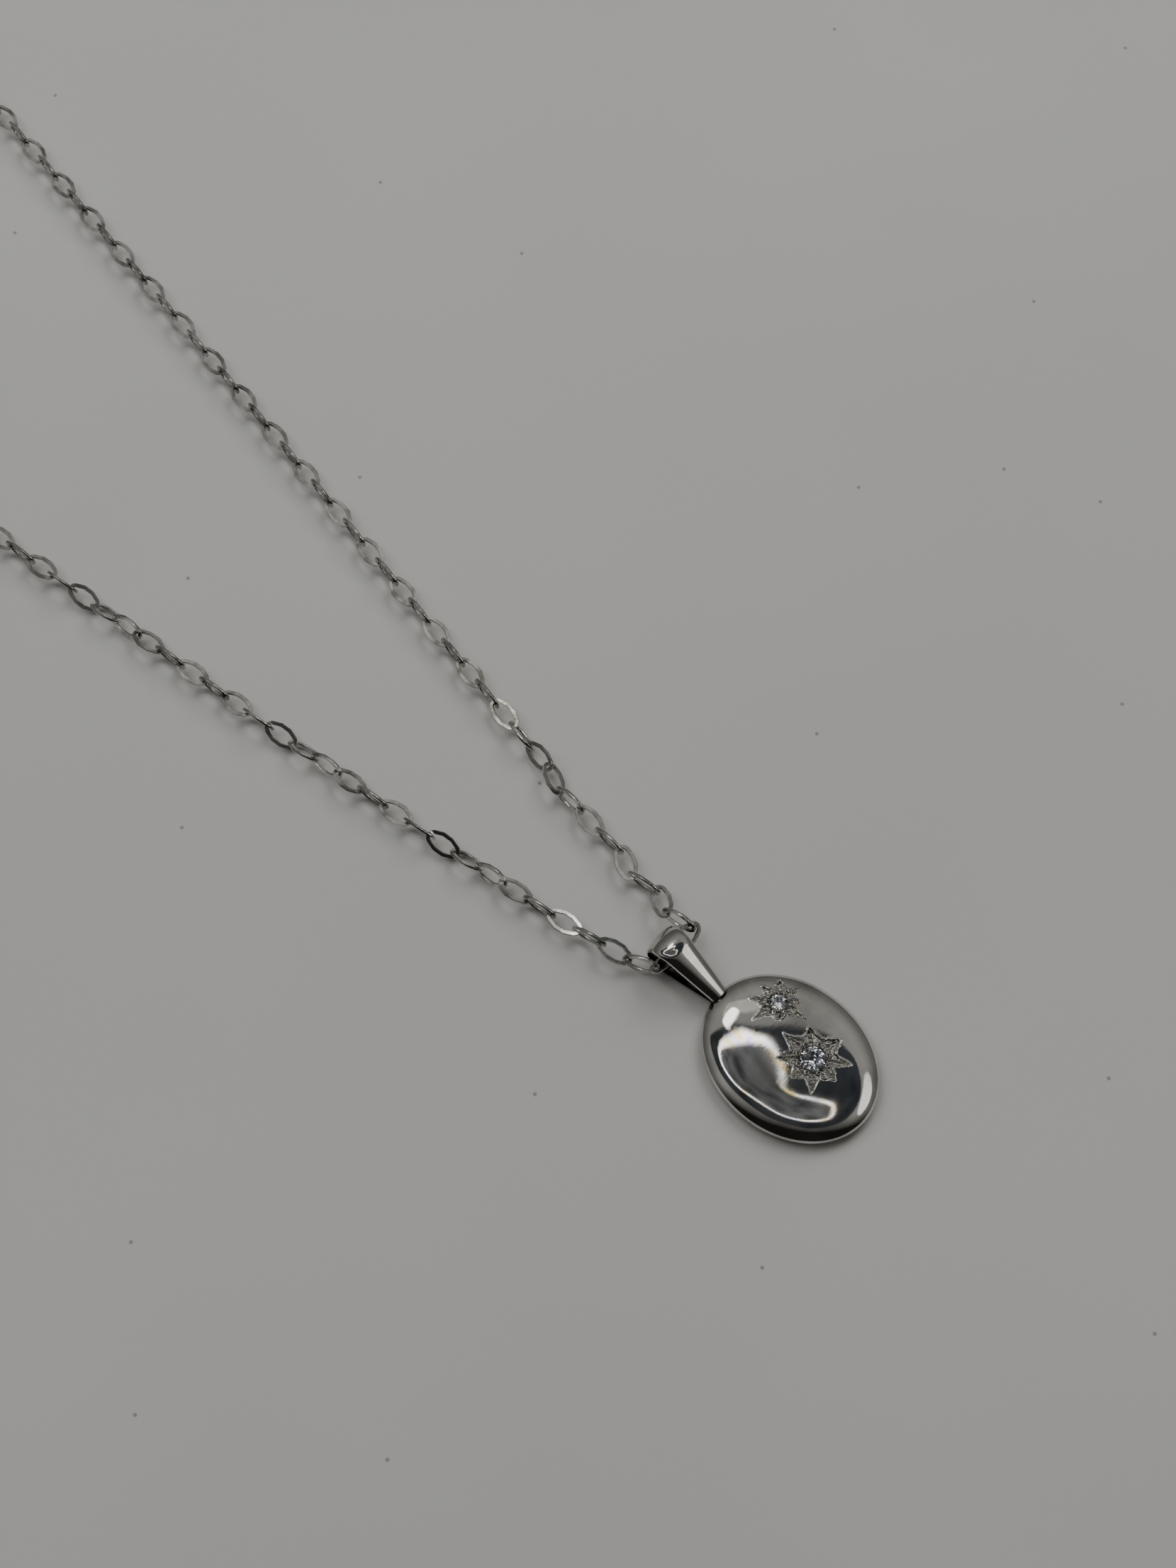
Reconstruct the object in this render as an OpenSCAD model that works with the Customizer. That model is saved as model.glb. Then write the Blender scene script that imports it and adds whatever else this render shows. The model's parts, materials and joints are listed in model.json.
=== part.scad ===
// Pendant necklace: an oval disc with two stones set in engraved stars, on a tapered bail,
// on a cable chain of flattened-wire oval links with a spring ring clasp. Millimetres, +Z up.
// The pendant lies on its flat back at z = 0, centred on the origin, with its bail towards +Y.

/* [Disc] */
// Length of the oval disc along Y
disc_length = 12.8; // [10:0.1:18]
// Width of the oval disc along X
disc_width = 10.2; // [8:0.1:14]
// Height of the widest line of the rim above the flat back
rim_height = 0.65; // [0.5:0.05:1]
// Rise of the domed front above the widest line
dome_rise = 1.1; // [0.9:0.05:1.6]
// How far the flat back is set in from the rim
back_inset = 0.45; // [0.2:0.05:0.8]

/* [Stars and stones] */
// Place of the large star on the disc, across X
large_star_x = 0.7; // [-1:0.1:1]
// Place of the large star on the disc, along Y
large_star_y = -1.25; // [-2:0.05:-0.5]
// Tip radius of the large star
large_star_radius = 2.4; // [2:0.1:2.6]
// Girdle diameter of the large stone
large_stone_diameter = 1.7; // [1.3:0.1:1.9]
// Place of the small star on the disc, across X
small_star_x = 2.1; // [1.5:0.1:2.5]
// Place of the small star on the disc, along Y
small_star_y = 2.9; // [2.5:0.1:3.5]
// Tip radius of the small star
small_star_radius = 1.75; // [1.4:0.05:1.9]
// Girdle diameter of the small stone
small_stone_diameter = 1.2; // [1:0.1:1.4]
// Depth of the engraved rays below the dome
star_depth = 0.2; // [0.1:0.05:0.3]
// Gap between a stone and its seat, on the radius
stone_clearance = 0.02; // [0.01:0.01:0.05]

/* [Bail] */
// Distance from the disc's rim to the far end of the bail
bail_reach = 5.35; // [4.5:0.05:7]
// Inside diameter of the bail's round end
bail_opening = 2.4; // [2.2:0.1:3.2]
// Thickness of the bail's strap
bail_wall = 0.38; // [0.25:0.01:0.6]
// Width of the strap at the round end
bail_top_width = 2.45; // [2:0.05:2.6]
// Width of the strap at the disc
bail_foot_width = 1.3; // [0.9:0.05:1.8]
// Depth that the bail's foot is let into the rim
bail_seat_depth = 0.3; // [0.2:0.05:0.5]
// Solder gap around the bail's foot
solder_gap = 0.02; // [0.01:0.01:0.05]

/* [Chain] */
// Outside length of a link
link_length = 2.7; // [2.3:0.05:3]
// Outside width of a link
link_width = 1.56; // [1.4:0.02:1.8]
// Width of the flattened wire, seen on the face of a link
wire_width = 0.3; // [0.24:0.01:0.36]
// Thickness of the flattened wire
wire_thickness = 0.22; // [0.16:0.01:0.28]
// Running gap around a wire in the eye of its neighbour
link_play = 0.08; // [0.07:0.01:0.1]
// Links in each half of the chain, beside the two in the bail
links_per_side = 103; // [91:2:121]
// Centre spacing of the turns where a strand is coiled
coil_spacing = 2.2; // [2:0.1:3]
// Radius of the innermost turn of a coil
coil_inner_radius = 8; // [7.6:0.1:10]

/* [Clasp and tag] */
// Centreline radius of a jump ring
jump_ring_radius = 0.95; // [0.9:0.05:1.3]
// Wire diameter of a jump ring
jump_ring_wire = 0.36; // [0.3:0.01:0.38]
// Centreline radius of the clasp ring
clasp_radius = 2.1; // [1.9:0.1:2.6]
// Outside diameter of the clasp tube
clasp_tube = 1.3; // [1.2:0.05:1.5]
// Wall of the clasp tube
clasp_wall = 0.18; // [0.14:0.01:0.22]
// Running gap between the bolt and the tube, on the radius
bolt_clearance = 0.04; // [0.02:0.01:0.08]
// Diameter of the lever on the bolt
lever_diameter = 0.5; // [0.4:0.05:0.6]
// Centreline radius of the clasp's end loop
end_loop_radius = 0.7; // [0.6:0.05:0.9]
// Wire diameter of the clasp's end loop
end_loop_wire = 0.4; // [0.3:0.05:0.5]
// Length of the chain tag between its two holes
tag_length = 3.6; // [3:0.1:5]
// Radius of the tag's round ends at the clasp hole
tag_end_radius = 1.7; // [1.5:0.1:2.2]
// Radius of the hole that the clasp closes on
tag_hole_radius = 0.9; // [0.8:0.05:1.1]
// Thickness of the tag
tag_thickness = 0.4; // [0.3:0.05:0.6]

/* [Hidden] */
$fn = 48;
eps = 0.01;

// Disc: an ellipse whose front rises as a flat-topped dome, steep at the rim
half_length = disc_length / 2;
half_width = disc_width / 2;
dome_power = 3;
disc_segments = 48;
dome_rings = 9;
back_rings = 3;
function out_of_one(x, y) = norm([x / half_width, y / half_length]);
function dome_at(share) = rim_height + dome_rise * sqrt(1 - pow(share, dome_power));
function dome_z(x, y) = dome_at(min(1, out_of_one(x, y)));

// A disc ring is [share of the half sizes, inset, height]
disc_rings = concat(
    [for (k = [0:back_rings - 1]) let (turn = 90 * k / back_rings)
        [1, back_inset * (1 - sin(turn)), rim_height * (1 - cos(turn))]],
    [for (k = [0:dome_rings - 1]) let (share = cos(90 * k / dome_rings)) [share, 0, dome_at(share)]]);
function ring_points(ring) = [for (k = [0:disc_segments - 1]) let (turn = 360 * k / disc_segments)
    [(half_width * ring[0] - ring[1]) * cos(turn), (half_length * ring[0] - ring[1]) * sin(turn), ring[2]]];

// Stars
star_rays = 8;
star_waist = 0.62;
star_headroom = 0.6;
crown_share = 0.15;
pavilion_share = 0.43;
girdle_share = 0.03;
table_share = 0.55;
girdle_drop = 0.12;

// Bail: the side view is a circle with two legs that run together towards the disc
bail_outer_radius = bail_opening / 2 + bail_wall;
bail_far_y = half_length + bail_reach;
bail_ring_y = bail_far_y - bail_outer_radius;
bail_ring_z = bail_outer_radius + solder_gap;
bail_foot_y = half_length - bail_seat_depth;
bail_apex = [bail_foot_y - 1.7, 0.55];
bail_shoulder_y = bail_ring_y + 0.4;

// Links: an oval of four arcs, with end arcs that run round the neighbour's wire
half_long = (link_length - wire_width) / 2;
half_wide = (link_width - wire_width) / 2;
wire_corner = norm([wire_width, wire_thickness]) / 2;
end_radius = wire_width / 2 + wire_corner + link_play;
eye_reach = half_long - end_radius;
side_radius = (eye_reach * eye_reach + half_wide * half_wide - end_radius * end_radius)
    / (2 * (half_wide - end_radius));
arc_join = atan(eye_reach / (side_radius - half_wide));
link_pitch = 2 * half_long - end_radius;

// Route of each strand, outward from the bail: [link number, heading in degrees from +X].
// From the first link of the coil the heading turns as the spiral does.
left_headings = [[1, 113], [2, 100], [3, 101], [4, 99], [6, 98], [12, 97], [18, 96], [28, 96]];
right_headings = [[1, 98], [2, 54], [3, 98], [4, 60], [5, 88], [6, 80], [7, 88], [8, 62], [9, 82], [12, 80],
    [24, 80], [34, 81], [44, 81]];
// How far the links have rolled about the chain's own line: [link number, degrees]
left_rolls = [[1, 20], [2, 0], [5, 0], [11, 90], [12, 90], [18, 180], [21, 180], [27, 270]];
right_rolls = [[1, 15], [2, 0], [6, 0], [12, 90]];
centre_left_roll = 38;
centre_right_roll = 33;
left_seen = 33;
right_seen = 47;
singles = 5;
left_second_run = 21;
right_second_run = 20;
right_third_run = 35;
inner_turn = 30;
inner_turn_links = 3;
table_gap = 0.05;
lying_links = 5;
// The two links in the bail: how far off its middle they hang, and the room they take in its opening
chain_offset = 0.378;
bail_room = 0.91575;
hinge_x = chain_offset + eye_reach + end_radius / 2;
hinge_lean = atan2(-0.22, 0.18);
hinge_y = bail_ring_y + (bail_opening / 2 - bail_room) * cos(hinge_lean);
hinge_z = bail_ring_z + (bail_opening / 2 - bail_room) * sin(hinge_lean);

function lying_height(roll) = table_gap
    + link_width / 2 * max(abs(sin(roll)), abs(cos(roll)))
    + wire_thickness / 2 * min(abs(sin(roll)), abs(cos(roll)));
function height_at(i, rolls) = let (lying = lying_height(lookup(i, rolls)), down = min(1, i / lying_links))
    hinge_z + (lying - hinge_z) * down * (2 - down);

// A placed link is [centre, heading, climb, roll]
function along(heading, climb) = [cos(heading) * cos(climb), sin(heading) * cos(climb), sin(climb)];
function face_normal(heading, climb, roll) = [
    sin(roll) * sin(heading) - cos(roll) * sin(climb) * cos(heading),
    -sin(roll) * cos(heading) - cos(roll) * sin(climb) * sin(heading),
    cos(roll) * cos(climb)];
function unit(v) = v / norm(v);
function direction_of(link) = along(link[1], link[2]);
function normal_of(link) = face_normal(link[1], link[2], link[3]);
function far_eye(link) = link[0] + eye_reach * direction_of(link);
function near_eye(link) = link[0] - eye_reach * direction_of(link);
function next_link(link, heading, climb, roll) =
    let (ahead = along(heading, climb), up = normal_of(link), in_face = ahead - (ahead * up) * up)
    [far_eye(link) + end_radius * unit(in_face) + eye_reach * ahead, heading, climb, roll];

function climb_from(link, i, rolls) = asin((height_at(i, rolls) - far_eye(link)[2]) / (end_radius + eye_reach));

// The coil's radius falls by one spacing a turn, and ends at the inner radius
function coil_radius(left_over) = sqrt(pow(coil_inner_radius, 2) + coil_spacing * link_pitch * left_over / PI);
function turn_at(i) = let (left_over = links_per_side - inner_turn_links - i)
    left_over < 0 ? inner_turn : link_pitch / coil_radius(left_over) * 180 / PI;
function strand(start, headings, rolls, seen) = [
    for (i = 1, link = next_link(start, lookup(1, headings), climb_from(start, 1, rolls), 90 + lookup(1, rolls));
        i <= links_per_side;
        i = i + 1,
        link = next_link(link,
            i < seen ? lookup(i, headings) : link[1] + turn_at(i),
            climb_from(link, i, rolls), 90 * (i % 2) + lookup(i, rolls)))
    link];
centre_right = [[hinge_x, hinge_y, hinge_z], 0, 0, centre_right_roll];
centre_left = next_link([centre_right[0], 180, 0, -centre_right_roll], 180, 0, centre_left_roll);
left = strand(centre_left, left_headings, left_rolls, left_seen);
right = strand(centre_right, right_headings, right_rolls, right_seen);

// What hangs on a strand's last link, which lies flat, so its jump ring stands
ring_climb = 24;
ring_drop = -18;
clasp_climb = -3;
tag_climb = -7;
function ring_heading(links) = links[len(links) - 1][1] + inner_turn;
function ring_centre(links) = far_eye(links[len(links) - 1])
    + jump_ring_radius * along(ring_heading(links), ring_climb);
function ring_exit(links) = ring_centre(links) + jump_ring_radius * along(ring_heading(links), ring_drop);

// Clasp ring, drawn flat about its own centre with the end loop towards -X
bore_radius = clasp_tube / 2 - clasp_wall;
bolt_radius = bore_radius - bolt_clearance;
gap_from = 55;
gap_to = 105;
bolt_travel = gap_to - gap_from - 4;
bolt_tip = gap_to + 8;
bolt_tail = -65;
lever_at = 22;
lever_reach = 0.75;
lever_room = 8;
tube_end = -160;
spring_wire = 0.12;
spring_turns = 9;
spring_steps = 10;
spring_sides = 6;
spring_from = tube_end + 8;
spring_to = bolt_tail - 2;
end_loop_x = -(clasp_radius + clasp_tube / 2 + end_loop_radius + end_loop_wire / 2 + solder_gap);

// Tag, drawn flat about the clasp hole with the jump ring's hole towards -X
tag_eye_radius = 0.5;
tag_eye_wall = 0.42;

module wire_shape(half_l, half_w, end_r, grow) {
    side_r = (pow(half_l - end_r, 2) + half_w * half_w - end_r * end_r) / (2 * (half_w - end_r));
    for (s = [-1, 1]) translate([s * (half_l - end_r), 0]) circle(r = end_r + grow);
    intersection() {
        translate([0, half_w - side_r]) circle(r = side_r + grow, $fn = 96);
        translate([0, side_r - half_w]) circle(r = side_r + grow, $fn = 96);
        square([2 * (half_l - end_r + 0.99 * (end_r + grow) * sin(arc_join)), link_width + 1], center = true);
    }
}

module link() linear_extrude(wire_thickness, center = true) difference() {
    wire_shape(half_long, half_wide, end_radius, wire_width / 2);
    wire_shape(half_long, half_wide, end_radius, -wire_width / 2);
}

module link_at(l) translate(l[0]) rotate([l[3], -l[2], l[1]]) link();

module links(strand_links, from, to) for (i = [from:to]) link_at(strand_links[i - 1]);

module dome() {
    rings = len(disc_rings);
    points = concat([for (ring = disc_rings) each ring_points(ring)], [[0, 0, dome_at(0)]]);
    back = [for (k = [0:disc_segments - 1]) k];
    sides = [for (r = [0:rings - 2], k = [0:disc_segments - 1])
        let (a = r * disc_segments, b = a + disc_segments, n = (k + 1) % disc_segments)
        [a + k, b + k, b + n, a + n]];
    last = (rings - 1) * disc_segments;
    cap = [for (k = [0:disc_segments - 1]) [last + k, rings * disc_segments, last + (k + 1) % disc_segments]];
    polyhedron(points, concat([back], sides, cap), convexity = 4);
}

// Stands its children on the dome at (x, y), square to the surface
module on_dome(x, y) {
    step = 0.05;
    slope = [dome_z(x + step, y) - dome_z(x - step, y), dome_z(x, y + step) - dome_z(x, y - step)] / (2 * step);
    translate([x, y, dome_z(x, y)]) rotate([0, atan(norm(slope)), atan2(-slope[1], -slope[0])])
        rotate([0, 0, -atan2(-slope[1], -slope[0])]) children();
}

module star_cut(tip_radius, stone_diameter) {
    translate([0, 0, -star_depth]) linear_extrude(star_depth + star_headroom)
        polygon([for (k = [0:2 * star_rays - 1]) let (r = k % 2 == 0 ? tip_radius : star_waist * tip_radius)
            r * [cos(180 * k / star_rays), sin(180 * k / star_rays)]]);
    deep = girdle_drop + (pavilion_share + girdle_share) * stone_diameter + stone_clearance;
    translate([0, 0, -deep]) cylinder(d = stone_diameter + 2 * stone_clearance, h = deep + eps);
}

module stone(d) translate([0, 0, -girdle_drop]) {
    cylinder(d1 = d, d2 = table_share * d, h = crown_share * d);
    translate([0, 0, -girdle_share * d]) cylinder(d = d, h = girdle_share * d);
    translate([0, 0, -(girdle_share + pavilion_share) * d]) cylinder(d1 = 0, d2 = d, h = pavilion_share * d);
}

module pendant_disc() color("silver") difference() {
    dome();
    on_dome(large_star_x, large_star_y) star_cut(large_star_radius, large_stone_diameter);
    on_dome(small_star_x, small_star_y) star_cut(small_star_radius, small_stone_diameter);
    translate([0, bail_foot_y - solder_gap + disc_length / 2, 0])
        cube([bail_width_at(half_length) + 2 * solder_gap, disc_length, disc_length], center = true);
}

module large_star_stone() color("white") on_dome(large_star_x, large_star_y) stone(large_stone_diameter);

module small_star_stone() color("white") on_dome(small_star_x, small_star_y) stone(small_stone_diameter);

function bail_width_at(y) = bail_foot_width
    + (bail_top_width - bail_foot_width) * (y - bail_foot_y) / (bail_shoulder_y - bail_foot_y);

// A circle at the ring's centre and the two lines from the apex that touch it
module teardrop(r, apex) {
    ring_at = [bail_ring_y, bail_ring_z];
    away = ring_at - apex;
    half_angle = asin(r / norm(away));
    aim = atan2(away[1], away[0]);
    touch = sqrt(away * away - r * r);
    translate(ring_at) circle(r = r);
    polygon([apex, apex + touch * [cos(aim - half_angle), sin(aim - half_angle)], ring_at,
        apex + touch * [cos(aim + half_angle), sin(aim + half_angle)]]);
}

module bail() color("silver") {
    away = [bail_ring_y, bail_ring_z] - bail_apex;
    inner_apex = bail_apex + unit(away) * bail_wall * norm(away) / bail_outer_radius;
    intersection() {
        rotate([90, 0, 90]) linear_extrude(2 * bail_top_width, center = true) difference() {
            teardrop(bail_outer_radius, bail_apex);
            teardrop(bail_opening / 2, inner_apex);
        }
        linear_extrude(2 * bail_ring_z + bail_outer_radius) polygon([
            for (p = [[1, bail_foot_y], [1, bail_shoulder_y], [1, bail_far_y + 1],
                [-1, bail_far_y + 1], [-1, bail_shoulder_y], [-1, bail_foot_y]])
            [p[0] * min(bail_top_width, bail_width_at(p[1])) / 2, p[1]]]);
    }
}

module centre_link_left() color("silver") link_at(centre_left);
module centre_link_right() color("silver") link_at(centre_right);
module left_link_1() color("silver") link_at(left[0]);
module left_link_2() color("silver") link_at(left[1]);
module left_link_3() color("silver") link_at(left[2]);
module left_link_4() color("silver") link_at(left[3]);
module left_link_5() color("silver") link_at(left[4]);
module right_link_1() color("silver") link_at(right[0]);
module right_link_2() color("silver") link_at(right[1]);
module right_link_3() color("silver") link_at(right[2]);
module right_link_4() color("silver") link_at(right[3]);
module right_link_5() color("silver") link_at(right[4]);
module left_run_1() color("silver") links(left, singles + 1, left_second_run - 1);
module left_run_2() color("silver") links(left, left_second_run, left_seen - 1);
module right_run_1() color("silver") links(right, singles + 1, right_second_run - 1);
module right_run_2() color("silver") links(right, right_second_run, right_third_run - 1);
module right_run_3() color("silver") links(right, right_third_run, right_seen - 1);
left_coil_split = round((left_seen + links_per_side) / 2);
right_coil_split = round((right_seen + links_per_side) / 2);
module left_coil_outer() color("silver") links(left, left_seen, left_coil_split);
module left_coil_inner() color("silver") links(left, left_coil_split + 1, links_per_side);
module right_coil_outer() color("silver") links(right, right_seen, right_coil_split);
module right_coil_inner() color("silver") links(right, right_coil_split + 1, links_per_side);

module torus(ring_radius, wire) rotate_extrude() translate([ring_radius, 0]) circle(d = wire);

module jump_ring(links) color("silver") translate(ring_centre(links))
    rotate([90, 0, ring_heading(links)]) torus(jump_ring_radius, jump_ring_wire);

module left_jump_ring() jump_ring(left);
module right_jump_ring() jump_ring(right);

// Puts its children, drawn with the jump ring's wire at (reach, 0), where a strand ends
module on_ring(links, reach, climb) translate(ring_exit(links))
    rotate([0, -climb, ring_heading(links)]) translate([-reach, 0, 0]) children();

module arc(from, to) rotate([0, 0, from]) rotate_extrude(angle = to - from) children();

module on_clasp() on_ring(left, end_loop_x, clasp_climb) children();

module clasp_body() color("silver") on_clasp() difference() {
    arc(gap_to, 360 + gap_from) translate([clasp_radius, 0]) circle(d = clasp_tube);
    arc(gap_to - 5, gap_to + 12) translate([clasp_radius, 0]) circle(r = bore_radius);
    arc(tube_end, gap_from + 5) translate([clasp_radius, 0]) circle(r = bore_radius);
    arc(lever_at - bolt_travel - lever_room, lever_at + lever_room)
        translate([clasp_radius, -lever_diameter / 2 - bolt_clearance])
        square([clasp_tube, lever_diameter + 2 * bolt_clearance]);
}

module clasp_bolt() color("silver") on_clasp() {
    arc(bolt_tail, bolt_tip) translate([clasp_radius, 0]) circle(r = bolt_radius);
    rotate([0, 0, lever_at]) translate([clasp_radius, 0, 0]) rotate([0, 90, 0])
        cylinder(d = lever_diameter, h = clasp_tube / 2 + lever_reach);
}

// The spring is a helix bent round the clasp's bore, between the blind end and the bolt
coil_r = bolt_radius - spring_wire / 2;
coil_steps = spring_turns * spring_steps;
function coil_point(k) = let (turn = 360 * k / spring_steps,
    place = spring_from + (spring_to - spring_from) * k / coil_steps, out = clasp_radius + coil_r * cos(turn))
    [out * cos(place), out * sin(place), coil_r * sin(turn)];
function coil_ring(k) = let (
    ahead = unit(coil_point(k + 0.5) - coil_point(k - 0.5)),
    side = unit(cross(ahead, [cos(spring_from), sin(spring_from), 3])), top = cross(side, ahead))
    [for (j = [0:spring_sides - 1]) coil_point(k)
        + spring_wire / 2 * (cos(360 * j / spring_sides) * side + sin(360 * j / spring_sides) * top)];

module clasp_spring() color("gray") on_clasp() {
    last = coil_steps * spring_sides;
    polyhedron([for (k = [0:coil_steps]) each coil_ring(k)], concat(
        [[for (j = [0:spring_sides - 1]) j]],
        [for (k = [0:coil_steps - 1], j = [0:spring_sides - 1]) let (a = k * spring_sides,
            n = (j + 1) % spring_sides) [a + j, a + spring_sides + j, a + spring_sides + n, a + n]],
        [[for (j = [spring_sides - 1:-1:0]) last + j]]));
}

module clasp_end_loop() color("silver") on_clasp() translate([end_loop_x, 0, 0])
    torus(end_loop_radius, end_loop_wire);

// A plate with a round end for each hole and a straight neck between them
module tag_plate() {
    small = tag_eye_radius + tag_eye_wall;
    circle(r = tag_end_radius);
    translate([-tag_length, 0]) circle(r = small);
    translate([-tag_length / 2, 0]) square([tag_length, 1.6 * small], center = true);
}

module chain_tag() color("silver") on_ring(right, -tag_length, tag_climb) difference() {
    linear_extrude(tag_thickness, center = true) tag_plate();
    cylinder(r = tag_hole_radius, h = 3 * tag_thickness, center = true);
    translate([-tag_length, 0, 0]) cylinder(r = tag_eye_radius, h = 3 * tag_thickness, center = true);
}

pendant_disc();
large_star_stone();
small_star_stone();
bail();
centre_link_left();
centre_link_right();
left_link_1();
left_link_2();
left_link_3();
left_link_4();
left_link_5();
right_link_1();
right_link_2();
right_link_3();
right_link_4();
right_link_5();
left_run_1();
left_run_2();
right_run_1();
right_run_2();
right_run_3();
left_coil_outer();
left_coil_inner();
right_coil_outer();
right_coil_inner();
left_jump_ring();
right_jump_ring();
clasp_body();
clasp_bolt();
clasp_spring();
clasp_end_loop();
chain_tag();
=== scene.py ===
"""A silver pendant necklace on a pale table: domed oval disc with two stones in engraved stars,
tapered bail, cable chain of flattened-wire links, spring ring clasp and tag. Metres, in the CAD frame."""

import json
import math

import bmesh
import bpy
import numpy as np
from mathutils import Matrix, Vector, noise


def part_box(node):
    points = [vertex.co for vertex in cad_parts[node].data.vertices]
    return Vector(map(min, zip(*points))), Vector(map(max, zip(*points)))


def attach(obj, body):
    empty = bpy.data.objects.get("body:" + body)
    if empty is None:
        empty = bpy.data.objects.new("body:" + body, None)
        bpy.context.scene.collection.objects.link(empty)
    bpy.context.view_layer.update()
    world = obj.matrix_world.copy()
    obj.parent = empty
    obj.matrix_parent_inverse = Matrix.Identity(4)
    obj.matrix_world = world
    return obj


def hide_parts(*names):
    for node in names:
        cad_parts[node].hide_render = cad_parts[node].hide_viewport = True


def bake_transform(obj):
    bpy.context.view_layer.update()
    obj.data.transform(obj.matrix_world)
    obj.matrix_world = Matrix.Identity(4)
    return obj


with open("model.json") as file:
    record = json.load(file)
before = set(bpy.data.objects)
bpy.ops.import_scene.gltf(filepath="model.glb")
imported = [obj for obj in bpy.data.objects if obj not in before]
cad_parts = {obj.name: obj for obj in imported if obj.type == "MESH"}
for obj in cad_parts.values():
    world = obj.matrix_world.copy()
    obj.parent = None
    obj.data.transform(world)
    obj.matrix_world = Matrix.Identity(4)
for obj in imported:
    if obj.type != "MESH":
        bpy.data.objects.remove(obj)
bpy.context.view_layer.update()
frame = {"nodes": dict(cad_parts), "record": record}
MM = 0.001
RAMP = "ShaderNodeValToRGB"

# ---------------------------------------------------------------- colours and nodes


def srgb(hexcode):
    """An sRGB hex value as a linear RGBA tuple."""
    out = []
    for i in (0, 2, 4):
        c = int(hexcode[i : i + 2], 16) / 255
        out.append(c / 12.92 if c <= 0.04045 else ((c + 0.055) / 1.055) ** 2.4)
    return (*out, 1.0)


def node(tree, kind, settings=None, links=None, stops=None, **values):
    """Adds a node. settings are its properties, values its sockets, links {socket: output socket}
    and stops the places and colours of a colour ramp."""
    n = tree.nodes.new(kind)
    for i, (at, colour) in enumerate(stops or []):
        stop = n.color_ramp.elements[i] if i < 2 else n.color_ramp.elements.new(at)
        stop.position = at
        stop.color = colour if isinstance(colour, tuple) else (colour, colour, colour, 1)
    for k, v in (settings or {}).items():
        setattr(n, k, v)
    for k, v in values.items():
        n.inputs[k.replace("_", " ")].default_value = v
    for k, v in (links or {}).items():
        tree.links.new(v, n.inputs[k])
    return n


def material(name):
    """A new material, its node tree and its shader."""
    m = bpy.data.materials.new(name)
    m.use_nodes = True
    return m, m.node_tree, m.node_tree.nodes["Principled BSDF"]


def silver(name, tint, tarnish_and_shade, rough, cloud_mm, scratch, cut=False):
    """Sterling silver: tint in its clean places, darker where tarnished; in the wire partly painted shade.
    """
    m, t, shader = material(name)
    shader.inputs["Metallic"].default_value = 1.0
    place = node(t, "ShaderNodeTexCoord").outputs["Object"]
    cloud = node(t, "ShaderNodeTexNoise", links={"Vector": place}, Scale=1 / (cloud_mm * MM), Detail=4.0)
    patch = {"Fac": cloud.outputs["Fac"]}
    colour = node(t, RAMP, links=patch, stops=[(0.35, srgb(tarnish_and_shade)), (0.6, srgb(tint))]).outputs["Color"]
    gloss = node(t, RAMP, links=patch, stops=[(0.3, rough[1]), (0.62, rough[0])]).outputs["Color"]
    # Polishing marks run one way, far finer across than along
    turned = node(t, "ShaderNodeMapping", links={"Vector": place})
    turned.inputs["Rotation"].default_value = (0, 0, math.radians(35))
    turned.inputs["Scale"].default_value = (1, 9, 1)
    marks = node(t, "ShaderNodeTexNoise", links={"Vector": turned.outputs["Vector"]},
                 Scale=1 / (0.5 * MM), Detail=3.0)
    # Painted shade in the engraved stars: the silver is darker where the cut is deeper
    if cut:
        cut_shade = node(t, "ShaderNodeAttribute", {"attribute_name": "cut"}).outputs["Fac"]
        colour = node(t, "ShaderNodeMix", {"data_type": "RGBA"}, {"Factor": cut_shade, "A": colour})
        colour.inputs["B"].default_value = srgb("C2C1BD")
        colour = colour.outputs["Result"]
    t.links.new(colour, shader.inputs["Base Color"])
    t.links.new(gloss, shader.inputs["Roughness"])
    bump = node(t, "ShaderNodeBump", links={"Height": marks.outputs["Fac"]},
                Strength=scratch, Distance=0.01 * MM)
    t.links.new(bump.outputs["Normal"], shader.inputs["Normal"])
    return m


# Polished sterling silver: mirror-bright with wiping marks and faint cloudy patches of tarnish; darker in
# the engraved cuts as painted shade
POLISHED = silver("polished_sterling_silver", "DCDBD8", "B9B7B2", (0.03, 0.09), 3.0, 0.12, cut=True)
# The bail's silver is the same, rubbed brighter by handling
BAIL_SILVER = silver("rubbed_sterling_silver", "DCDBD8", "BFBDB8", (0.04, 0.09), 2.0, 0.15)
# Drawn and rolled wire: a little duller, darker in random patches: part tarnish, part painted shade
# standing in for the shade between links
WIRE = silver("rolled_silver_wire", "D2D2CF", "8C8D89", (0.08, 0.2), 1.1, 0.4)
# Clasp and jump rings: tumbled silver, softly bright
TUMBLED = silver("tumbled_silver", "C9C8C4", "A4A29D", (0.12, 0.24), 1.6, 0.4)


def spring_steel():
    # Cold-drawn spring steel: grey and satin
    m, t, shader = material("cold_drawn_spring_steel")
    shader.inputs["Metallic"].default_value = 1.0
    place = node(t, "ShaderNodeTexCoord").outputs["Object"]
    drawn = node(t, "ShaderNodeTexNoise", links={"Vector": place}, Scale=1 / (0.4 * MM), Detail=2.0)
    colour = node(t, RAMP, links={"Fac": drawn.outputs["Fac"]},
                  stops=[(0.35, srgb("77777A")), (0.65, srgb("96969A"))])
    t.links.new(colour.outputs["Color"], shader.inputs["Base Color"])
    shader.inputs["Roughness"].default_value = 0.35
    return m


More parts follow.
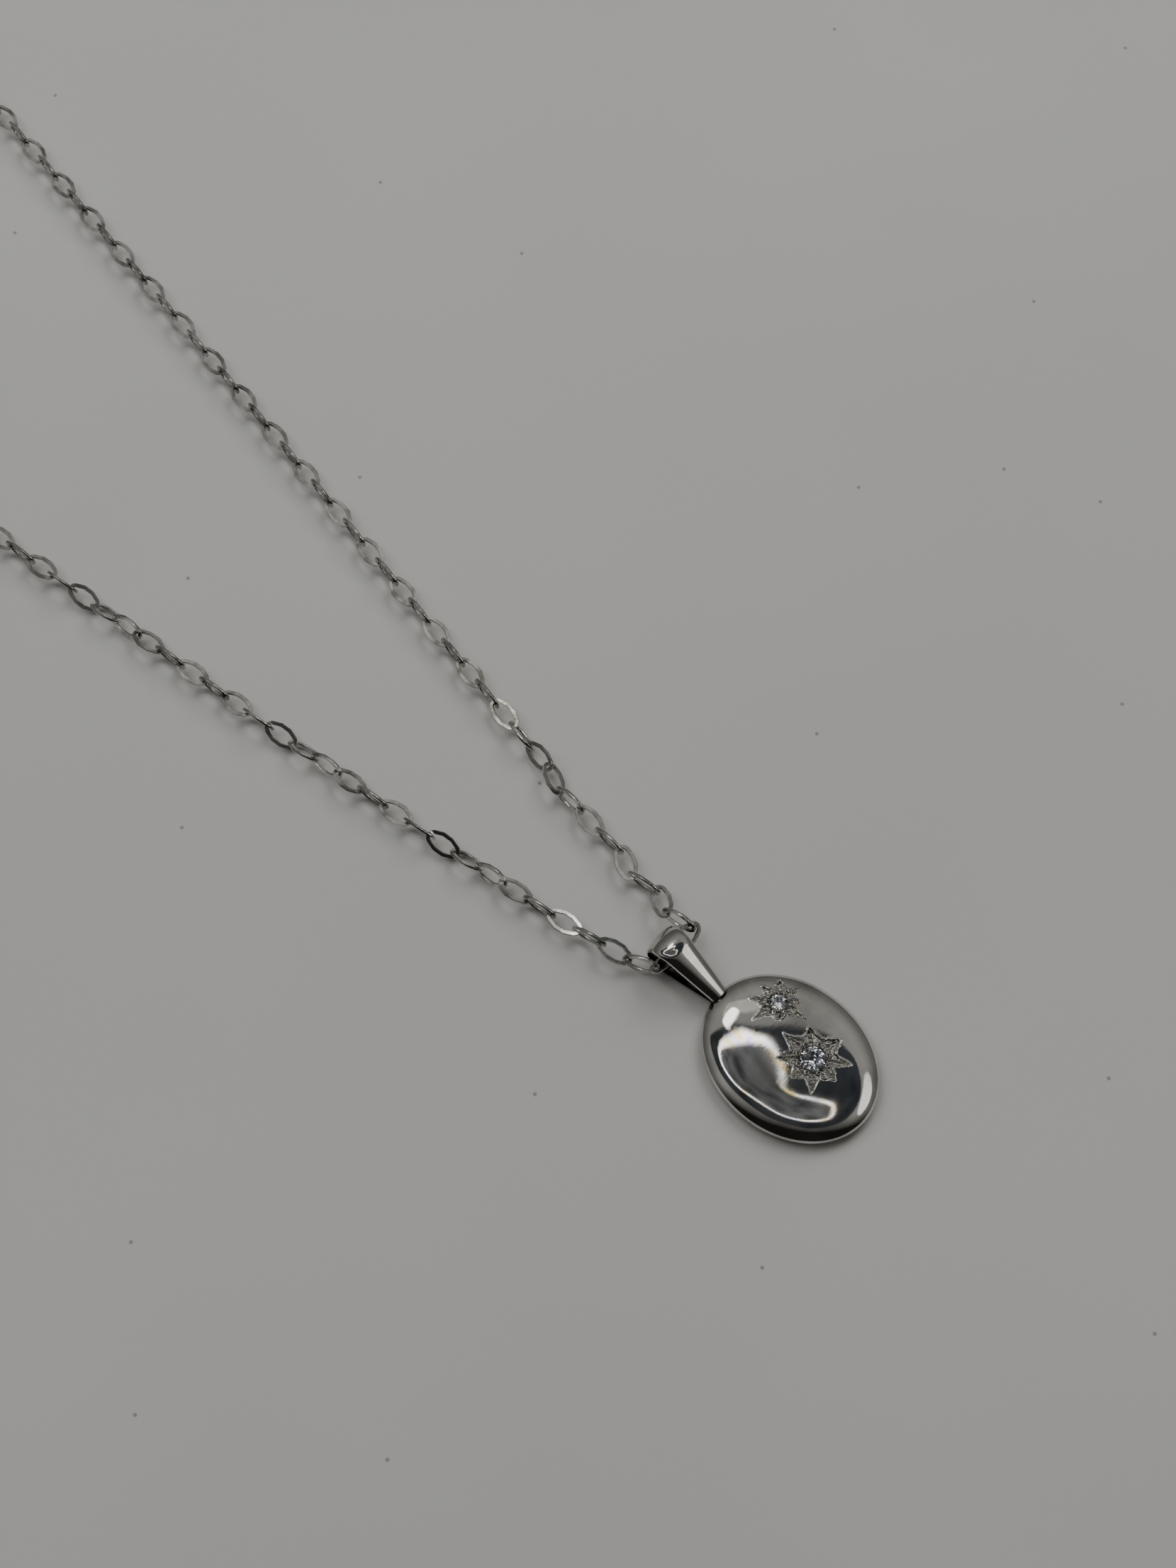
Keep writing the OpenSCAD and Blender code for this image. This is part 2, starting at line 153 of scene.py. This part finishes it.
def zirconia():
    # Cut cubic zirconia: clear, with bright hard facets; the seat's grey shows through
    m, t, shader = material("cut_cubic_zirconia")
    place = node(t, "ShaderNodeTexCoord").outputs["Object"]
    cells = node(t, "ShaderNodeTexVoronoi", links={"Vector": place}, Scale=1 / (0.35 * MM))
    colour = node(t, RAMP, links={"Fac": cells.outputs["Distance"]},
                  stops=[(0.1, srgb("FFFFFF")), (0.7, srgb("C9D0DC"))])
    t.links.new(colour.outputs["Color"], shader.inputs["Base Color"])
    shader.inputs["Roughness"].default_value = 0.02
    shader.inputs["IOR"].default_value = 2.16
    shader.inputs["Transmission Weight"].default_value = 1.0
    return m


def paper():
    # Matt grey-white paper: faint cloudiness and a fine felt-side grain
    m, t, shader = material("matt_paper")
    place = node(t, "ShaderNodeTexCoord").outputs["Object"]
    cloud = node(t, "ShaderNodeTexNoise", links={"Vector": place}, Scale=1 / (60 * MM), Detail=3.0)
    colour = node(t, RAMP, links={"Fac": cloud.outputs["Fac"]},
                  stops=[(0.3, srgb("B8B8B6")), (0.7, srgb("BEBEBC"))])
    # A few specks of dust, about a quarter of a millimetre across
    dust = node(t, "ShaderNodeTexVoronoi", {"voronoi_dimensions": "2D"}, {"Vector": place},
                Scale=1 / (22 * MM))
    speck = node(t, RAMP, links={"Fac": dust.outputs["Distance"]}, stops=[(0.004, 0.6), (0.007, 0.0)])
    colour = node(t, "ShaderNodeMix", {"data_type": "RGBA"},
                  {"Factor": speck.outputs["Color"], "A": colour.outputs["Color"]})
    colour.inputs["B"].default_value = srgb("5A5956")
    t.links.new(colour.outputs["Result"], shader.inputs["Base Color"])
    shader.inputs["Roughness"].default_value = 0.9
    grain = node(t, "ShaderNodeTexNoise", links={"Vector": place}, Scale=1 / (0.9 * MM), Detail=4.0)
    bump = node(t, "ShaderNodeBump", links={"Height": grain.outputs["Fac"]},
                Strength=0.25, Distance=0.03 * MM)
    t.links.new(bump.outputs["Normal"], shader.inputs["Normal"])
    return m


SPRING, STONE, PAPER = spring_steel(), zirconia(), paper()

# ---------------------------------------------------------------- mesh helpers


def finish(bm, name, mat, body, nodes, smooth=None):
    """Makes a bmesh, drawn in millimetres, a piece that rides on a body, or stays put if body is no name,
    and stands for CAD nodes.
    Edges sharper than smooth degrees stay sharp; None leaves flat facets."""
    bmesh.ops.scale(bm, vec=(MM, MM, MM), verts=bm.verts)
    mesh = bpy.data.meshes.new(name)
    bm.to_mesh(mesh)
    bm.free()
    if smooth is not None:
        mesh.shade_smooth()
        if smooth < 180:
            mesh.set_sharp_from_angle(angle=math.radians(smooth))
    obj = bpy.data.objects.new(name, mesh)
    bpy.context.scene.collection.objects.link(obj)
    mesh.materials.append(mat)
    if isinstance(body, str):
        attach(obj, body)
    else:
        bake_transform(obj)
    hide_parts(*nodes)
    return obj


def loop_of(bm, points):
    """A closed loop of edges through a few points."""
    verts = [bm.verts.new(p) for p in points]
    return [bm.edges.new((verts[i - 1], verts[i])) for i in range(len(verts))]


def swing(bm, edges, centre, axis, degrees, steps):
    """Sweeps an edge loop round an axis and returns the loop it ends on."""
    out = bmesh.ops.spin(bm, geom=edges, cent=centre, axis=axis, angle=math.radians(degrees), steps=steps)
    return [g for g in out["geom_last"] if isinstance(g, bmesh.types.BMEdge)]


def pull(bm, edges, by):
    """Extrudes an edge loop by a vector and returns the loop it ends on."""
    out = bmesh.ops.extrude_edge_only(bm, edges=edges)["geom"]
    bmesh.ops.translate(bm, vec=by, verts=[g for g in out if isinstance(g, bmesh.types.BMVert)])
    return [g for g in out if isinstance(g, bmesh.types.BMEdge) and all(f in out for f in g.link_faces)]


def size_of(name):
    """The two corners of a CAD node's box, in millimetres."""
    lo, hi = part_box(name)
    return lo / MM, hi / MM


# ---------------------------------------------------------------- disc

_, hi = size_of("pendant_disc")
HALF = Vector((hi.x, hi.y)) * 0.998
TOP = hi.z * 0.998
RIM, INSET, POWER = 0.65, 0.45, 3.0


def dome(x, y):
    """Height of the disc's front over its flat back."""
    share = min(1.0, math.hypot(x / HALF.x, y / HALF.y))
    return RIM + (TOP - RIM) * math.sqrt(max(0.0, 1 - share**POWER))


# Each ray is (angle from +X, length); each star is cut by hand, so no two rays are alike
BIG_RAYS = ((90, 2.4), (46, 2.1), (-12, 2.35), (-57, 2.45),
            (-93, 2.0), (-143, 2.2), (175, 1.85), (131, 2.3))
SMALL_RAYS = ((123, 1.9), (84, 1.5), (36, 1.75), (-11, 1.7),
              (-43, 1.5), (-80, 1.95), (-137, 1.25), (167, 1.95))
# The burr along a cut's edge, the cut and the groove in its middle, and the seat under the stone
BURR, BURR_WIDTH, CUT_DEPTH, GROOVE_DEPTH, SEAT_DEPTH = 0.11, 0.085, 0.14, 0.16, 0.75
# Radius of the beads that hold the stone
BEAD = 0.21


class Star:
    """An engraved star: eight tapered cuts round a stone, a burr along their edges, beads that hold it."""

    def __init__(self, stone_node, rays, waist, seed):
        a, b = size_of(stone_node)
        self.x, self.y = (a.x + b.x) / 2, (a.y + b.y) / 2
        self.stone = (b.x - a.x + b.y - a.y) / 4
        self.rays = sorted((math.radians(t) % math.tau, r) for t, r in rays)
        self.waist, self.seed = waist, seed
        self.reach = max(r for _, r in rays) + 0.3
        self.beads = []
        for i, (t, _) in enumerate(self.rays):
            nxt = self.rays[(i + 1) % len(self.rays)][0] + (math.tau if i + 1 == len(self.rays) else 0)
            self.beads.append(((t + nxt) / 2, self.stone + 0.16))

    def edge(self, turn):
        """Outline radius at an angle: straight lines from tip to waist to tip."""
        turn %= math.tau
        n = len(self.rays)
        for i in range(n):
            a, ra = self.rays[i]
            b, rb = self.rays[(i + 1) % n]
            if i + 1 == n:
                b += math.tau
            t = turn if turn >= a else turn + math.tau
            if a <= t <= b:
                mid, rm = (a + b) / 2, self.waist * (ra + rb) / 2
                (p, rp), (q, rq) = ((a, ra), (mid, rm)) if t <= mid else ((mid, rm), (b, rb))
                ax, ay, bx, by = rp * math.cos(p), rp * math.sin(p), rq * math.cos(q), rq * math.sin(q)
                dx, dy = bx - ax, by - ay
                den = math.cos(t) * dy - math.sin(t) * dx
                return (ax * dy - ay * dx) / den if abs(den) > 1e-9 else rp
        return self.rays[0][1]

    def lift(self, x, y):
        """Height change of the surface in millimetres, and how much painted shade the cut gets, from its
        depth.
        """
        dx, dy = x - self.x, y - self.y
        r = math.hypot(dx, dy)
        if r > self.reach:
            return 0.0, 0.0
        turn = math.atan2(dy, dx)
        wobble = 0.14 * noise.noise(Vector((dx * 2.6, dy * 2.6, self.seed)))
        inside = self.edge(turn) + wobble - r
        ragged = 0.6 + 1.3 * noise.noise(Vector((dx * 4, dy * 4, 7)))
        burr = BURR * math.exp(-((inside / BURR_WIDTH) ** 2)) * ragged
        if inside < 0:
            return burr, 0.0
        step = min(1.0, inside / 0.12)
        depth = CUT_DEPTH * step * step * (3 - 2 * step)
        for t, length in self.rays:
            off = math.atan2(math.sin(turn - t), math.cos(turn - t))
            if abs(off) < 1.2:
                along, across = r * math.cos(off), abs(r * math.sin(off))
                wide = 0.30 * max(0.0, 1 - along / length) + 0.05
                if across < wide and along < length:
                    depth += GROOVE_DEPTH * (1 - across / wide) * min(1.0, along / 0.6)
        rough = (0.1 * noise.noise(Vector((dx * 4.5, dy * 4.5, self.seed + 3)))
                 + 0.06 * noise.noise(Vector((dx * 10, dy * 10, self.seed + 9)))) * step
        height = burr - depth + rough
        for t, far in self.beads:
            bead = math.hypot(dx - far * math.cos(t), dy - far * math.sin(t))
            if bead < BEAD:
                height = max(height, -0.12 + math.sqrt(BEAD**2 - bead**2) * 1.1)
        if r < self.stone + 0.02:
            height = min(height, -SEAT_DEPTH)
        return height, min(1.0, depth / 0.2)


BIG = Star("large_star_stone", BIG_RAYS, 0.62, 1.0)
SMALL = Star("small_star_stone", SMALL_RAYS, 0.55, 5.0)


def pendant_disc():
    """The disc: a rim, a flat back and a domed front with the two stars cut in it."""
    bm = bmesh.new()
    around, across = 336, 132
    # Profile in shares of the half size: over the dome from its middle, round the rim,
    # and under to the back's middle
    line = [(i / across, dome(HALF.x * i / across, 0)) for i in range(across - 8)]
    edge = line[-1][0]
    line += [(math.sin(math.radians(t)), dome(HALF.x * math.sin(math.radians(t)), 0))
             for t in np.linspace(math.degrees(math.asin(edge)) + 1.2, 89.2, 16)] + [(1.0, RIM)]
    line += [(1 - INSET / HALF.x * (1 - math.cos(t)), RIM * (1 - math.sin(t)))
             for t in np.linspace(math.radians(15), math.radians(90), 6)] + [(0.0, 0.0)]
    verts = [bm.verts.new((s, 0, z)) for s, z in line]
    edges = [bm.edges.new(pair) for pair in zip(verts, verts[1:])]
    bmesh.ops.spin(bm, geom=verts + edges, cent=(0, 0, 0), axis=(0, 0, 1), angle=math.tau,
                   steps=around, use_merge=True)
    bmesh.ops.remove_doubles(bm, verts=bm.verts, dist=1e-5)
    bmesh.ops.scale(bm, vec=(HALF.x, HALF.y, 1), verts=bm.verts)
    bmesh.ops.recalc_face_normals(bm, faces=bm.faces)
    # The cut layer holds painted shade for the engraved stars: the deeper the cut, the darker the silver
    cut = bm.verts.layers.float.new("cut")
    for v in bm.verts:
        if v.co.z > RIM:
            for star in (BIG, SMALL):
                up, cut_shade_share = star.lift(v.co.x, v.co.y)
                v.co.z += up
                v[cut] = max(v[cut], cut_shade_share)
            # Hand polishing leaves the dome a little uneven
            v.co.z += 0.012 * noise.noise(v.co * 0.5) * min(1.0, (v.co.z - RIM) / 0.4)
            v.co.z = min(v.co.z, hi.z)
    return finish(bm, "engraved_disc", POLISHED, "pendant", ["pendant_disc"], 180)


def brilliant(node_name, star):
    """A round brilliant: eight-sided table, crown and pavilion facets, sixteen-sided girdle."""
    _, corner = size_of(node_name)
    r = star.stone * 0.98

    def ring(n, share, z, turn):
        angles = [math.tau * (k + turn) / n for k in range(n)]
        return [(share * r * math.cos(t), share * r * math.sin(t), z * r) for t in angles]

    crown = ring(8, 0.56, 0.32, 0) + ring(8, 0.82, 0.18, 0.5)
    girdle = ring(16, 1, 0.02, 0) + ring(16, 1, -0.04, 0)
    pavilion = ring(8, 0.5, -0.5, 0.5) + [(0, 0, -0.86 * r)]
    bm = bmesh.new()
    for p in crown + girdle + pavilion:
        bm.verts.new(p)
    bmesh.ops.convex_hull(bm, input=bm.verts)
    bmesh.ops.recalc_face_normals(bm, faces=bm.faces)
    e = 0.05
    slope = Vector((dome(star.x - e, star.y) - dome(star.x + e, star.y),
                    dome(star.x, star.y - e) - dome(star.x, star.y + e), 2 * e)).normalized()
    bmesh.ops.transform(bm, matrix=slope.to_track_quat("Z", "Y").to_matrix().to_4x4(), verts=bm.verts)
    high = max(v.co.z for v in bm.verts)
    bmesh.ops.translate(bm, vec=(star.x, star.y, corner.z - high), verts=bm.verts)
    return finish(bm, node_name.replace("_stone", "_brilliant"), STONE, "pendant", [node_name])


def bail():
    """A strap with a domed outside, swept up one leg, round the top and down the other."""
    a, b = size_of("bail")
    # The strap's thickness, its height over the table, and the radius of its round end's opening
    wall, drop, inner = 0.375, 0.025, 1.2
    # The strap's width at its round end and at its foot, and how far short of its apex the legs stop
    wide, foot, short = b.x - a.x, 1.3, 1.75
    ring = Vector((0, b.y - inner - wall, drop + inner + wall))
    apex = Vector((0, a.y - 1.7, 0.55))
    away = ring - apex
    half = math.asin((inner + wall) / away.length)
    aim = math.atan2(away.z, away.y)
    bm = bmesh.new()
    # Section across the strap at the start of the arc, from flat inside to domed outside
    n = 16
    flat = [(-0.5, 0.03), (-0.3, 0.0), (0, 0.0), (0.3, 0.0), (0.5, 0.03)]
    domed = [(0.5 * math.cos(math.pi * k / n), wall * (0.12 + 0.88 * math.sin(math.pi * k / n)))
             for k in range(n + 1)]
    start = aim + half + math.pi / 2
    out = Vector((0, math.cos(start), math.sin(start)))
    section = [Vector((x, 0, 0)) + ring + out * (inner + d) for x, d in flat + domed]
    loop = loop_of(bm, section)
    far_leg = Vector((0, -math.sin(start), math.cos(start)))
    leg = math.sqrt(away.length**2 - (inner + wall) ** 2) - short
    end = swing(bm, loop, ring, (1, 0, 0), -math.degrees(math.pi + 2 * half), 40)
    first = loop
    pulls = 12
    for _ in range(pulls):
        first = pull(bm, first, far_leg * leg / pulls)
    back = start - math.pi - 2 * half
    near_leg = Vector((0, math.sin(back), -math.cos(back)))
    for _ in range(pulls):
        end = pull(bm, end, near_leg * leg / pulls)
    for ends in (first, end):
        bmesh.ops.contextual_create(bm, geom=ends)
    shoulder = ring.y + 0.4
    for v in bm.verts:
        v.co.x *= min(wide, foot + (wide - foot) * (v.co.y - a.y) / (shoulder - a.y))
    bmesh.ops.recalc_face_normals(bm, faces=bm.faces)
    return finish(bm, "tapered_bail", BAIL_SILVER, "pendant", ["bail"], 50)


# ---------------------------------------------------------------- chain


def rounded_link(wide, thick, long_size, wide_size):
    """One oval link of flattened wire, its corners rolled round, drawn flat along X at the origin."""
    corner = math.hypot(wide, thick) / 2
    end_r = wide / 2 + corner + 0.08
    a, b = (long_size - wide) / 2, (wide_size - wide) / 2
    reach = a - end_r
    side_r = (reach * reach + b * b - end_r * end_r) / (2 * (b - end_r))
    join = math.degrees(math.atan(reach / (side_r - b)))
    bm = bmesh.new()
    w, t = wide / 2, thick / 2
    section = [(-w, -0.4 * t), (-0.72 * w, -t), (0.72 * w, -t), (w, -0.4 * t),
               (w, 0.4 * t), (0.72 * w, t), (-0.72 * w, t), (-w, 0.4 * t)]
    start = math.radians(join - 90)
    out = Vector((math.cos(start), math.sin(start), 0))
    loop = loop_of(bm, [Vector((reach, 0, 0)) + out * (end_r + u) + Vector((0, 0, v)) for u, v in section])
    for centre, turn, steps in (((reach, 0, 0), 180 - 2 * join, 4), ((0, b - side_r, 0), 2 * join, 3),
                                ((-reach, 0, 0), 180 - 2 * join, 4), ((0, side_r - b, 0), 2 * join, 3)):
        loop = swing(bm, loop, centre, (0, 0, 1), turn, steps)
    bmesh.ops.remove_doubles(bm, verts=bm.verts, dist=1e-4)
    bmesh.ops.recalc_face_normals(bm, faces=bm.faces)
    mesh = bpy.data.meshes.new("rolled_link")
    bm.to_mesh(mesh)
    bm.free()
    return mesh


# The rolled wire's width and thickness, and a link's length and width over all
LINK = rounded_link(0.298, 0.218, 2.695, 1.555)


def islands(obj):
    """The separate solids of a CAD node, each as an array of points in millimetres."""
    bm = bmesh.new()
    bm.from_mesh(obj.data)
    bmesh.ops.remove_doubles(bm, verts=bm.verts, dist=1e-7)
    seen, out = set(), []
    for v in bm.verts:
        if v in seen:
            continue
        seen.add(v)
        stack, group = [v], []
        while stack:
            u = stack.pop()
            group.append(u.co / MM)
            for e in u.link_edges:
                w = e.other_vert(u)
                if w not in seen:
                    seen.add(w)
                    stack.append(w)
        out.append(np.array(group))
    bm.free()
    return out


def links_like(name, body):
    """Puts a rounded link where each CAD link of a node lies, along its own long and short axes."""
    bm = bmesh.new()
    for points in islands(frame["nodes"][name]):
        middle = (points.max(0) + points.min(0)) / 2
        for _ in range(2):
            _, _, axes = np.linalg.svd(points - middle, full_matrices=False)
            spread = (points - middle) @ axes.T
            middle = middle + ((spread.max(0) + spread.min(0)) / 2) @ axes
        if np.linalg.det(axes) < 0:
            axes[2] = -axes[2]
        place = Matrix(axes.T.tolist()).to_4x4()
        place.translation = middle
        before = len(bm.verts)
        bm.from_mesh(LINK)
        bm.verts.ensure_lookup_table()
        bmesh.ops.transform(bm, matrix=place, verts=bm.verts[before:])
    return finish(bm, name + "_rolled", WIRE, body, [name], 40)


def joined_up(name, mat, body):
    """A jump ring, the tag or a part of the clasp, its surface joined up so that it shades smoothly."""
    bm = bmesh.new()
    bm.from_mesh(frame["nodes"][name].data)
    bmesh.ops.scale(bm, vec=(1 / MM, 1 / MM, 1 / MM), verts=bm.verts)
    bmesh.ops.remove_doubles(bm, verts=bm.verts, dist=1e-4)
    bmesh.ops.recalc_face_normals(bm, faces=bm.faces)
    return finish(bm, name + "_joined", mat, body, [name], 35)


def spring_ends():
    """The clasp and its bolt, and the spring's two ends between them."""
    joint = next(j for j in frame["record"]["behaviour"]["joints"] if j["name"] == "bolt_slide")
    middle, axis = Vector(joint["pos_m"]), Vector(joint["axis"])
    low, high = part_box("clasp_end_loop")
    ahead = (middle - (low + high) / 2).normalized()
    aside = axis.cross(ahead)
    radius = 2.1 * MM

    def at(degrees):
        turn = math.radians(degrees)
        return middle + radius * (ahead * math.cos(turn) + aside * math.sin(turn))

    return "clasp", "clasp_bolt", at(-152), at(-67)


pendant_disc()
brilliant("large_star_stone", BIG)
brilliant("small_star_stone", SMALL)
bail()
for body, members in frame["record"]["behaviour"]["bodies"].items():
    for name in members:
        if "link" in name or "_run_" in name or "_coil_" in name:
            links_like(name, body)
        elif name.startswith("clasp_") or name.endswith(("_ring", "_tag")):
            if name != "clasp_spring":
                joined_up(name, TUMBLED, body)
joined_up("clasp_spring", SPRING, spring_ends())

# ---------------------------------------------------------------- table, light and camera


def table_top():
    """The sheet of paper that the necklace lies on."""
    bm = bmesh.new()
    bmesh.ops.create_grid(bm, x_segments=1, y_segments=1, size=1.5)
    mesh = bpy.data.meshes.new("paper_sheet")
    bm.to_mesh(mesh)
    bm.free()
    obj = bpy.data.objects.new("paper_sheet", mesh)
    mesh.materials.append(PAPER)
    bpy.context.scene.collection.objects.link(obj)


def glow(name, where, aim, wide, tall, watts, tint="FFFFFF"):
    """A soft rectangular light at a point, facing another, both in millimetres."""
    data = bpy.data.lights.new(name, "AREA")
    data.shape, data.size, data.size_y = "RECTANGLE", wide * MM, tall * MM
    data.energy, data.color = watts, srgb(tint)[:3]
    obj = bpy.data.objects.new(name, data)
    obj.location = Vector(where) * MM
    obj.rotation_mode = "QUATERNION"
    obj.rotation_quaternion = (Vector(aim) - Vector(where)).to_track_quat("-Z", "Y")
    bpy.context.scene.collection.objects.link(obj)
    return obj


def seen_in_metal_only(obj):
    """Only mirroring and clear surfaces show it, and it casts no shadow."""
    obj.visible_camera = obj.visible_diffuse = obj.visible_shadow = False


def panel_paint(name, stops, strength, cloud_mm):
    """Softly clouded light of a panel, between two or more greys."""
    m = bpy.data.materials.new(name)
    m.use_nodes = True
    t = m.node_tree
    t.nodes.clear()
    place = node(t, "ShaderNodeTexCoord").outputs["Object"]
    cloud = node(t, "ShaderNodeTexNoise", links={"Vector": place}, Scale=1 / (cloud_mm * MM), Detail=5.0)
    colour = node(t, RAMP, links={"Fac": cloud.outputs["Fac"]}, stops=stops)
    light = node(t, "ShaderNodeEmission", links={"Color": colour.outputs["Color"]}, Strength=strength)
    node(t, "ShaderNodeOutputMaterial", links={"Surface": light.outputs["Emission"]})
    return m


def rounded(points, steps=6):
    """A smooth closed line through a few points."""
    out, n = [], len(points)
    for i in range(n):
        a, b, c, d = (Vector(points[(i + k - 1) % n]) for k in range(4))
        for k in range(steps):
            t = k / steps
            out.append(0.5 * (2 * b + (c - a) * t + (2 * a - 5 * b + 4 * c - d) * t**2
                              + (3 * b - a - 3 * c + d) * t**3))
    return out


def panel(name, outline, high, paint):
    """A flat panel over the table, seen only in the silver and the stones."""
    bm = bmesh.new()
    verts = [bm.verts.new((p.x * MM, p.y * MM, high * MM)) for p in rounded(outline)]
    bmesh.ops.contextual_create(bm, geom=verts)
    mesh = bpy.data.meshes.new(name)
    bm.to_mesh(mesh)
    bm.free()
    mesh.materials.append(paint)
    obj = bpy.data.objects.new(name, mesh)
    bpy.context.scene.collection.objects.link(obj)
    seen_in_metal_only(obj)


def light_strip(name, line, widths, high, paint):
    """A glowing closed strip over the table, seen only in the silver and the stones.
    widths gives its half width along the line."""
    curve = bpy.data.curves.new(name, "CURVE")
    curve.dimensions, curve.bevel_depth, curve.bevel_resolution = "3D", 1 * MM, 1
    spline = curve.splines.new("POLY")
    points = rounded([(*p, w) for p, w in zip(line, widths)])
    spline.points.add(len(points) - 1)
    for sp, p in zip(spline.points, points):
        sp.co, sp.radius = (p.x * MM, p.y * MM, high * MM, 1), p.z
    spline.use_cyclic_u = True
    curve.materials.append(paint)
    obj = bpy.data.objects.new(name, curve)
    bpy.context.scene.collection.objects.link(obj)
    seen_in_metal_only(obj)


def room():
    """A dim grey room: what the silver mirrors, apart from the panels."""
    world = bpy.data.worlds.new("room")
    bpy.context.scene.world = world
    world.use_nodes = True
    t = world.node_tree
    sky = t.nodes["Background"]
    aim = node(t, "ShaderNodeTexCoord").outputs["Generated"]
    high = node(t, "ShaderNodeSeparateXYZ", links={"Vector": aim}).outputs["Z"]
    wall = node(t, RAMP, links={"Fac": high}, stops=[
        (0.0, srgb("5C5C59")), (0.45, srgb("706F6C")), (0.75, srgb("9A9995")), (1.0, srgb("858583"))])
    side = node(t, "ShaderNodeVectorMath", {"operation": "DOT_PRODUCT"}, {0: aim})
    side.inputs[1].default_value = (-0.74, -0.67, 0)
    far = node(t, RAMP, links={"Fac": side.outputs["Value"]}, stops=[(0.22, 0.0), (0.55, 1.0)])
    shade = node(t, "ShaderNodeMix", {"data_type": "RGBA"},
                 {"Factor": far.outputs["Color"], "A": wall.outputs["Color"]})
    shade.inputs["B"].default_value = srgb("201F1D")
    t.links.new(shade.outputs["Result"], sky.inputs["Color"])
    sky.inputs["Strength"].default_value = 1.0


table_top()
room()
window = glow("window", (400, 110, 370), (0, 20, 0), 300, 300, 1.25, "FFFDFB")
ceiling = glow("ceiling", (-20, 300, 420), (-10, 60, 0), 400, 400, 1.0, "FFFEFD")
window.visible_glossy = ceiling.visible_glossy = False

# A hand-held viewer over the table, its glowing edge, and the dim strip of ceiling round it
HELD = [(-25, 84), (16, 58), (33, 36), (36, 22), (16, 8), (24, -10), (28, -34),
        (6, -54), (-18, -38), (-36, -14), (-42, 14), (-54, 44), (-52, 74)]
EDGE = [4.5, 6.5, 3.6, 1.2, 0.9, 1.0, 1.9, 1.9, 1.5, 1.5, 1.8, 2.4, 3.6]
panel("held_viewer", HELD, 156,
      panel_paint("viewer_back", [(0.35, srgb("3C3E40")), (0.6, srgb("77797A"))], 1.0, 16))
light_strip("viewer_edge", HELD, EDGE, 155,
            panel_paint("viewer_edge_light", [(0.38, srgb("E8CC6A")), (0.47, srgb("FFFFFF")),
                                              (0.54, srgb("FFFFFF")), (0.62, srgb("C6AEE6"))], 4.2, 8))
panel("dim_ceiling", [(-60, 160), (-30, 140), (19, 80), (38, 50), (50, 32), (66, 22), (90, 4),
                      (104, -24), (80, -70), (40, -95), (0, -95), (-50, -60), (-80, 0), (-95, 90)], 160,
      panel_paint("dim_ceiling_grey", [(0.3, srgb("25282C")), (0.7, srgb("44484C"))], 1.0, 40))
panel("bright_wall", [(20, 120), (42, 78), (58, 60), (80, 70), (70, 100), (50, 140)], 162,
      panel_paint("bright_wall_light", [(0.3, srgb("BAB8B1")), (0.7, srgb("CFCDC6"))], 1.0, 40))
panel("bright_floor_light", [(108, -66), (165, -105), (165, -190), (72, -190), (54, -118)], 162,
      panel_paint("floor_light", [(0.3, srgb("F4F1EA")), (0.7, srgb("FFFFFF"))], 1.3, 60))

# A lamp, small and low, that face-up links near the pendant catch
panel("small_lamp", [(2.6, 22.4), (10.2, 22.4), (10.2, 29.8), (2.6, 29.8)], 40,
      panel_paint("lamp_light", [(0.3, srgb("FFFFFF")), (0.7, srgb("FFFAF0"))], 3.2, 10))

camera = bpy.data.cameras.new("camera")
camera.sensor_fit, camera.sensor_height, camera.lens = "VERTICAL", 24.0, 36.04
camera.clip_start, camera.clip_end = 0.005, 10
eye = bpy.data.objects.new("camera", camera)
eye.location = Vector((-39.04, -17.94, 149.49)) * MM
ahead = Vector((0.2762, 0.2531, -0.9272)).normalized()
right = ahead.cross(Vector((0, 0, 1))).normalized()
eye.rotation_mode = "QUATERNION"
eye.rotation_quaternion = Matrix((right, right.cross(ahead), -ahead)).transposed().to_quaternion()
bpy.context.scene.collection.objects.link(eye)
bpy.context.scene.camera = eye
